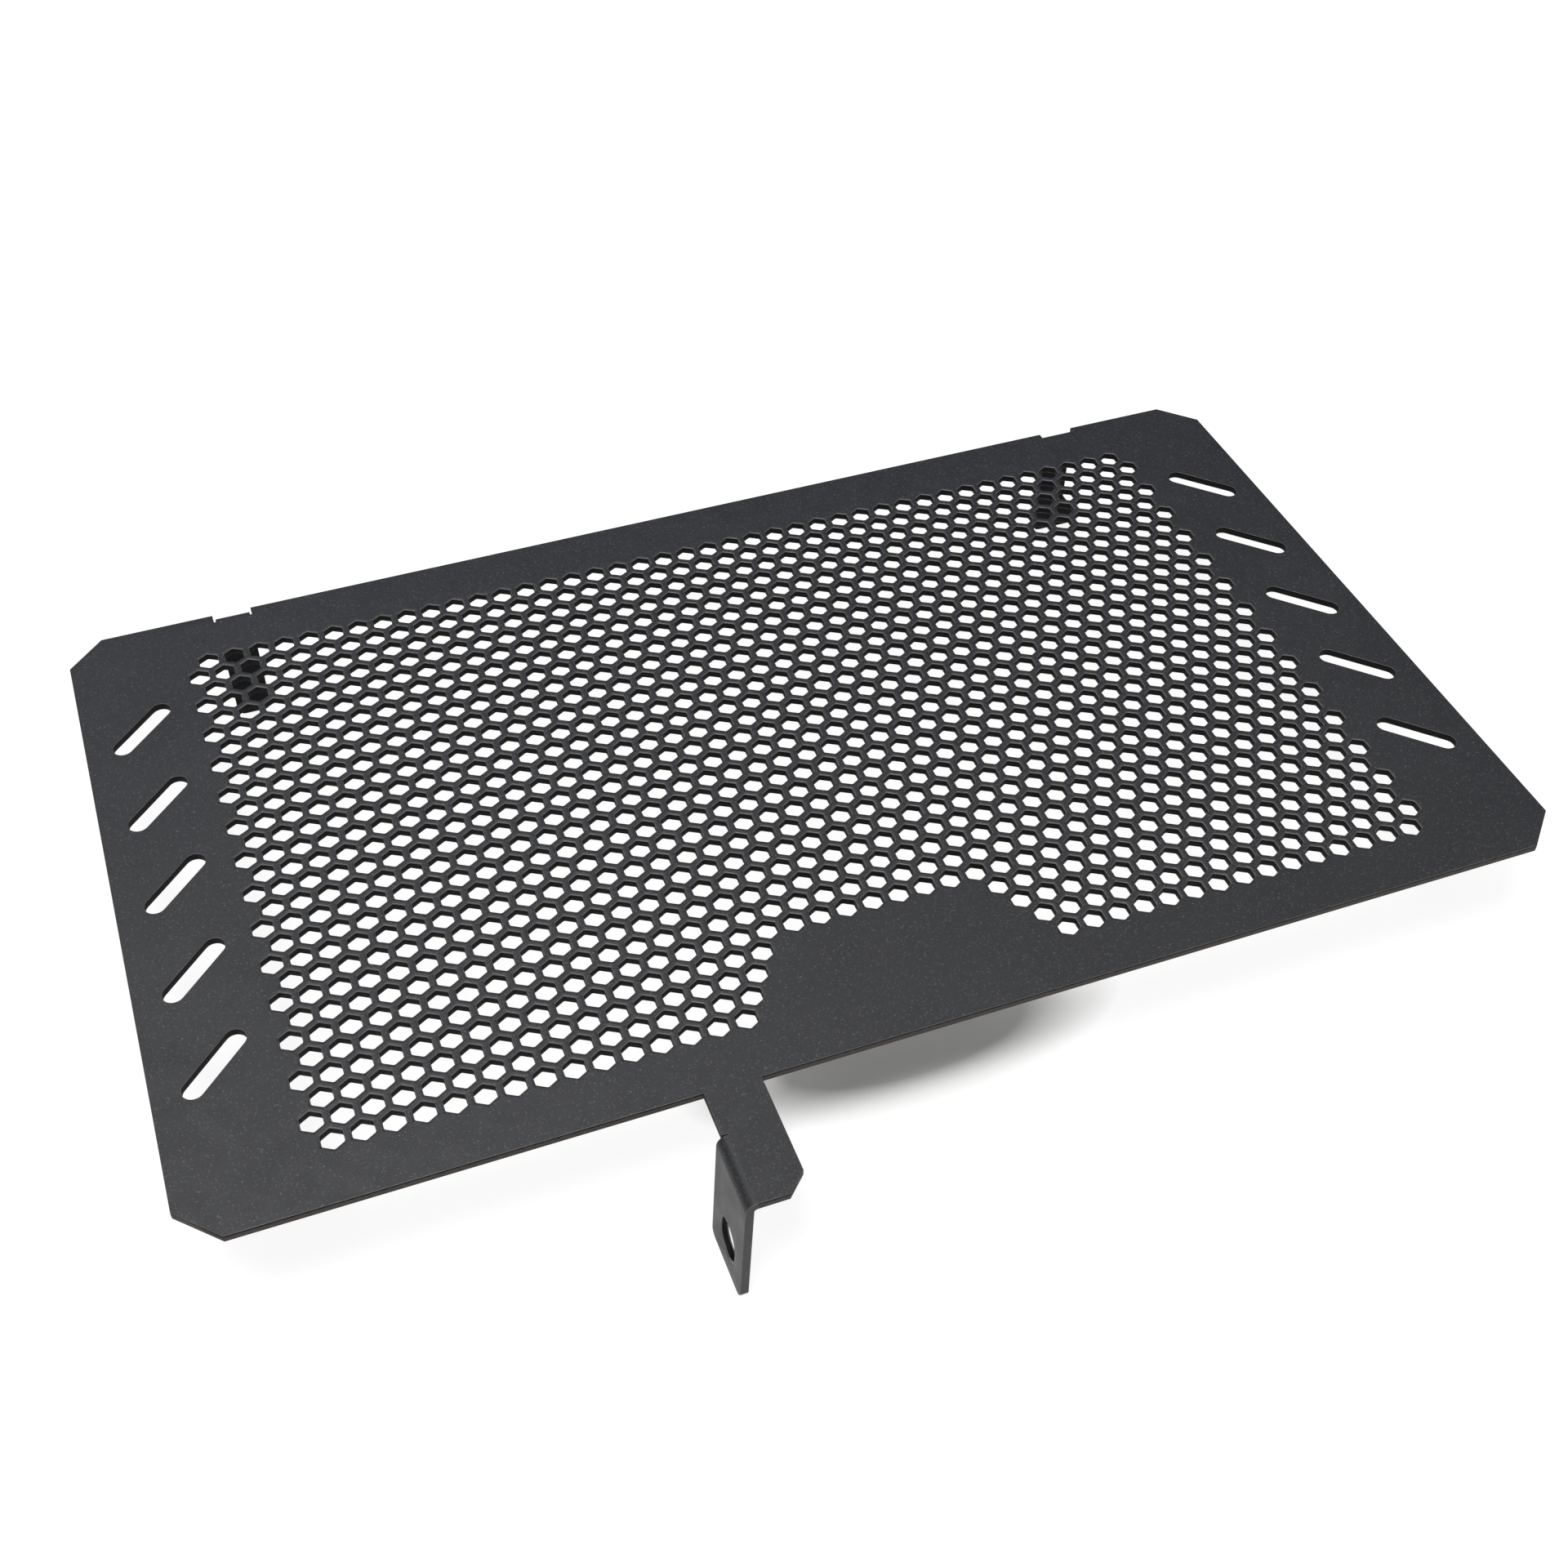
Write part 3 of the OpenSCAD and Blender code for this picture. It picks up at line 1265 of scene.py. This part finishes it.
class RADIATORGUARD_OT_add_guard(bpy.types.Operator):
    """Model the guard: draw its surface, thicken it, soften its edges and coat it black"""

    bl_idname = "radiatorguard.add_guard"
    bl_label = "Add guard"
    bl_options = {"REGISTER", "UNDO"}

    def execute(self, context):
        scene = context.scene
        sheet, coat = scene.guard_sheet, scene.guard_coat
        guard = draw_surface(scene)
        guard.name = "folded_guard"
        guard.data.name = "folded_guard"
        edge = cut_edge(coat, sheet.thickness)
        for material in (powder_coat(coat), edge, painted_rim_highlight(coat), painted_shade_wall(coat)):
            guard.data.materials.append(material)
        self.mark_outline(guard, sheet.edge_round / scene.guard_tab.slot_round)
        apply_modifier(
            guard,
            "SOLIDIFY",
            thickness=sheet.thickness,
            offset=-1.0,
            use_even_offset=True,
            use_quality_normals=True,
            material_offset_rim=EDGE_SLOT,
        )
        self.coat_walls(guard, scene)
        # The rounded rims that the bevel makes take the painted highlight
        apply_modifier(
            guard,
            "BEVEL",
            width=scene.guard_tab.slot_round,
            segments=1,
            limit_method="WEIGHT",
            material=HIGHLIGHT_SLOT,
            loop_slide=False,
            use_clamp_overlap=False,
        )
        self.level_strays(guard)
        take(guard)
        bpy.ops.object.shade_smooth_by_angle(angle=math.radians(60))
        apply_modifier(guard, "WEIGHTED_NORMAL", mode="FACE_AREA", weight=60, keep_sharp=True)
        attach(guard, "root")
        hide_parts(NODE)
        return {"FINISHED"}

    def mark_outline(self, guard, share):
        """Mark every open edge that isn't marked for the bevel yet."""
        edit(guard)
        weight = bmesh.from_edit_mesh(guard.data).edges.layers.float.get("bevel_weight_edge")
        if pick("EDGE", lambda edge: edge.is_boundary and edge[weight] < UNMARKED) == 0:
            raise RuntimeError("the surface has no outline")
        bpy.ops.transform.edge_bevelweight(value=share)
        leave_edit()

    def coat_walls(self, guard, scene):
        """Full coat on the legs' outlines; near-black painted shade in the holes and slots and on
        the rear legs' inner faces.
        """
        sheet, tab = scene.guard_sheet, scene.guard_tab
        below = HIGH.z - sheet.fold_radius
        beside = -tab.offset - tab.width - tab.flange_step + sheet.fold_radius
        before = LOW.y + tab.flange_width + SAME_PLACE
        slot = Vector((0, LOW.y + tab.flange_width / 2, tab.slot_up))
        reach = (tab.slot_width + tab.slot_height) / 4 + SLOT_ROOM
        inside_x = sheet.face_length / 2 - PLAIN_END
        inside_y = sheet.face_depth / 2 - sheet.corner_chamfer
        y_middle = HIGH.y - sheet.face_depth / 2

        def in_slot(place):
            return (slot - Vector((0, place.y, place.z))).length < reach

        def on_leg(face):
            place = middle(face)
            folded = place.z < below or (place.x < beside and place.y < before)
            return face.material_index == EDGE_SLOT and folded and not in_slot(place)

        # Walls of the holes and slots, which get the painted shade
        def in_bore(face):
            place = middle(face)
            inside = abs(place.x) < inside_x and abs(place.y - y_middle) < inside_y
            mounting = place.z < below and in_slot(place)
            return face.material_index == EDGE_SLOT and (inside or mounting)

        # The rear legs' inner faces get the painted shade as well
        def behind_leg(face):
            place = middle(face)
            return face.normal.y < -FACING and place.z < below and place.y > y_middle

        edit(guard)
        for test, index in ((on_leg, COAT_SLOT), (in_bore, PAINTED_SHADE_SLOT), (behind_leg, PAINTED_SHADE_SLOT)):
            pick("FACE", test)
            guard.active_material_index = index
            bpy.ops.object.material_slot_assign()
        leave_edit()

    def level_strays(self, guard):
        """Bring the few corners that the bevel lifts at the relief cuts back to the face."""
        edit(guard)
        for _ in range(LEVEL_ROUNDS):
            if pick("VERT", lambda vert: vert.co.z > HIGH.z + LIFTED) == 0:
                break
            shown = bmesh.from_edit_mesh(guard.data)
            lift = min(vert.co.z for vert in shown.verts if vert.select) - HIGH.z
            bpy.ops.transform.translate(value=(0, 0, -lift))
        leave_edit()


class RADIATORGUARD_OT_add_stage(bpy.types.Operator):
    """Add the pale floor, the soft light and the camera"""

    bl_idname = "radiatorguard.add_stage"
    bl_label = "Add stage"
    bl_options = {"REGISTER", "UNDO"}

    def execute(self, context):
        stage = context.scene.guard_stage
        clear_selection()
        bpy.ops.mesh.primitive_plane_add(size=stage.floor_size, location=(0, 0, 0))
        floor = context.object
        floor.name = "floor"
        floor.data.materials.append(pale_floor(stage))
        self.add_light(context, stage)
        self.add_cards(stage)
        self.add_camera(context, stage)
        return {"FINISHED"}

    def add_light(self, context, stage):
        """Light from all around, a large soft lamp behind and one above the front left."""
        world = bpy.data.worlds.new("studio")
        context.scene.world = world
        world.use_nodes = True
        nodes = world.node_tree.nodes
        nodes.clear()
        link = world.node_tree.links.new
        output = nodes.new("ShaderNodeOutputWorld")
        around = nodes.new("ShaderNodeBackground")
        around.inputs["Color"].default_value = (1.0, 1.0, 1.0, 1.0)
        around.inputs["Strength"].default_value = stage.ambient
        white = nodes.new("ShaderNodeBackground")
        white.inputs["Color"].default_value = (1.0, 1.0, 1.0, 1.0)
        white.inputs["Strength"].default_value = 1.0
        mix = nodes.new("ShaderNodeMixShader")
        link(seen_directly(nodes, link), mix.inputs["Fac"])
        link(around.outputs["Background"], mix.inputs[1])
        link(white.outputs["Background"], mix.inputs[2])
        link(mix.outputs["Shader"], output.inputs["Surface"])
        for name, place, size, power in (
            ("rear_lamp", stage.rear_place, stage.rear_size, stage.rear_power),
            ("front_lamp", stage.front_place, stage.front_size, stage.front_power),
        ):
            clear_selection()
            bpy.ops.object.light_add(type="AREA", location=place)
            lamp = context.object
            lamp.name = name
            lamp.data.shape = "SQUARE"
            lamp.data.size = size
            lamp.data.energy = power
            lamp.rotation_euler = (-lamp.location).to_track_quat("-Z", "Y").to_euler()

    def add_cards(self, stage):
        """Dark cards beside and behind the guard, which only its reflections show."""
        low, high = 0.02, 1.25
        path = ((-1.2, -0.2), (-1.2, 1.0), (1.2, 1.0), (1.2, -0.4))
        card = join([
            draw_plate("dark_card", [
                Vector((*start, low)), Vector((*end, low)), Vector((*end, high)),
                Vector((*start, high)),
            ])
            for start, end in zip(path, path[1:])
        ])
        card.data.materials.append(dark_card(stage))
        card.visible_camera = False
        card.visible_shadow = False
        card.visible_diffuse = False

    def add_camera(self, context, stage):
        """Camera at the angle of the photograph."""
        clear_selection()
        bpy.ops.object.camera_add()
        camera = context.object
        camera.name = "camera"
        aim = Vector(stage.camera_aim).normalized()
        right = aim.cross(Vector(stage.camera_up)).normalized()
        turn = Matrix((right, right.cross(aim), -aim)).transposed().to_4x4()
        camera.matrix_world = Matrix.Translation(stage.camera_place) @ turn
        camera.data.lens = stage.lens
        camera.data.sensor_width = 36.0
        camera.data.clip_start = 0.01
        camera.data.clip_end = 50.0
        context.scene.camera = camera
        context.scene.view_settings.view_transform = "Standard"


class RADIATORGUARD_PT_sidebar(bpy.types.Panel):
    """Sizes and finish of the guard, and the steps that make it"""

    bl_label = "Radiator guard"
    bl_space_type = "VIEW_3D"
    bl_region_type = "UI"
    bl_category = "Radiator guard"

    def draw(self, context):
        for name, group in SETTINGS.items():
            box = self.layout.box()
            box.label(text=group.__doc__)
            for entry in group.__annotations__:
                box.prop(getattr(context.scene, name), entry)
        self.layout.operator(RADIATORGUARD_OT_add_guard.bl_idname)
        self.layout.operator(RADIATORGUARD_OT_add_stage.bl_idname)


SETTINGS = {
    "guard_sheet": GuardSheet,
    "guard_mesh": GuardMesh,
    "guard_slots": GuardSlots,
    "guard_legs": GuardLegs,
    "guard_tab": GuardTab,
    "guard_coat": GuardCoat,
    "guard_stage": GuardStage,
}
CLASSES = (
    *SETTINGS.values(),
    RADIATORGUARD_OT_add_guard,
    RADIATORGUARD_OT_add_stage,
    RADIATORGUARD_PT_sidebar,
)


def register():
    """Make the settings, steps and panel known to Blender."""
    for item in CLASSES:
        bpy.utils.register_class(item)
    for name, group in SETTINGS.items():
        setattr(bpy.types.Scene, name, PointerProperty(type=group))


def unregister():
    """Take the settings, steps and panel out again."""
    for name in SETTINGS:
        delattr(bpy.types.Scene, name)
    for item in reversed(CLASSES):
        bpy.utils.unregister_class(item)


def main():
    """Make the guard and its stage."""
    register()
    bpy.ops.radiatorguard.add_guard()
    bpy.ops.radiatorguard.add_stage()


if __name__ == "__main__":
    main()
